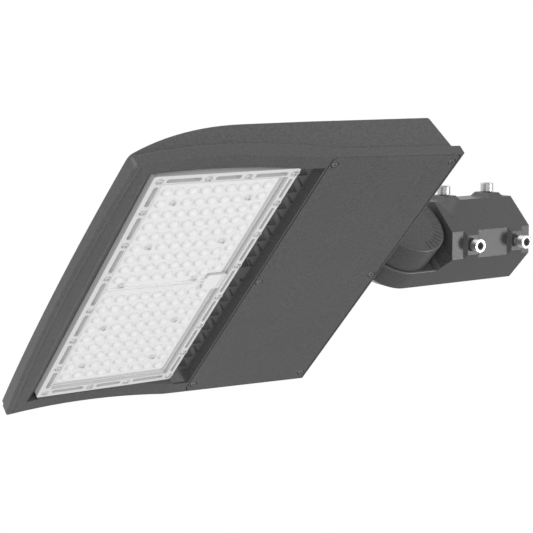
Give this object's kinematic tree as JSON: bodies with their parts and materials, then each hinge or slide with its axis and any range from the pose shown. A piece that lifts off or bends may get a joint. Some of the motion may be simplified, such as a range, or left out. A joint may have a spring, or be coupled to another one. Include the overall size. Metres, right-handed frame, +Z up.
{
  "type": "led street light head",
  "caption": "Flat LED street light head with a finned cast housing, domed clear lens panel, driver box and a tilting slip fitter that clamps on a pole tenon.",
  "frame": {"origin": "centre of the slip fitter's socket mouth, on the socket axis", "axes": "+X along the socket axis out of its mouth, towards the pole; +Z up, away from the lit side; -Y is the side with the clamp bolts"},
  "size_m": [0.5241, 0.35, 0.0904],
  "materials": {
    "cast_grey": "matte",
    "steel": "satin",
    "black_rubber": "matte",
    "clear_lens": "gloss",
    "board_white": "satin",
    "led_yellow": "satin",
    "driver_case": "satin",
    "surge_blue": "satin",
    "terminal_white": "matte",
    "brass": "satin"
  },
  "bodies": {
    "fitter": {"slip_fitter": "cast_grey"},
    "head": {"housing": "cast_grey", "lens_panel": "clear_lens", "lens_gasket": "black_rubber", "led_board_near": "board_white", "led_board_far": "board_white", "led_chips": "led_yellow", "lens_screws": "steel", "board_screws": "steel", "led_lead": "black_rubber", "duct_grommet": "black_rubber", "driver_cover": "cast_grey", "cover_gasket": "black_rubber", "cover_screws": "steel", "led_driver": "driver_case", "driver_screws": "steel", "driver_leads": "black_rubber", "surge_protector": "surge_blue", "surge_screws": "steel", "terminal_block": "terminal_white", "terminal_screws": "steel", "ground_screw": "brass", "knuckle_arm": "cast_grey", "arm_gasket": "black_rubber", "arm_bolts": "steel", "arm_washers": "steel", "wire_grommet": "black_rubber", "pivot_bolt": "steel", "pivot_washer": "steel"},
    "bolt_lower_front": {"clamp_bolt_lower_front": "steel"},
    "bolt_lower_rear": {"clamp_bolt_lower_rear": "steel"},
    "bolt_upper_front": {"clamp_bolt_upper_front": "steel"},
    "bolt_upper_rear": {"clamp_bolt_upper_rear": "steel"}
  },
  "joints": [
    {"name": "tilt", "type": "hinge", "parent": "fitter", "child": "head", "pos_m": [-0.1407, 0, 0], "axis": [0, 1, 0], "range_deg": [-90, 90]},
    {"name": "lower_front_screw", "type": "slide", "parent": "fitter", "child": "bolt_lower_front", "axis": [0, 0.7071, 0.7071], "range_m": [-0.005, 0.0021]},
    {"name": "lower_rear_screw", "type": "slide", "parent": "fitter", "child": "bolt_lower_rear", "axis": [0, 0.7071, 0.7071], "range_m": [-0.005, 0.0061]},
    {"name": "upper_front_screw", "type": "slide", "parent": "fitter", "child": "bolt_upper_front", "axis": [0, 0.7071, -0.7071], "range_m": [-0.005, 0.001]},
    {"name": "upper_rear_screw", "type": "slide", "parent": "fitter", "child": "bolt_upper_rear", "axis": [0, 0.7071, -0.7071], "range_m": [-0.005, 0.001]}
  ]
}
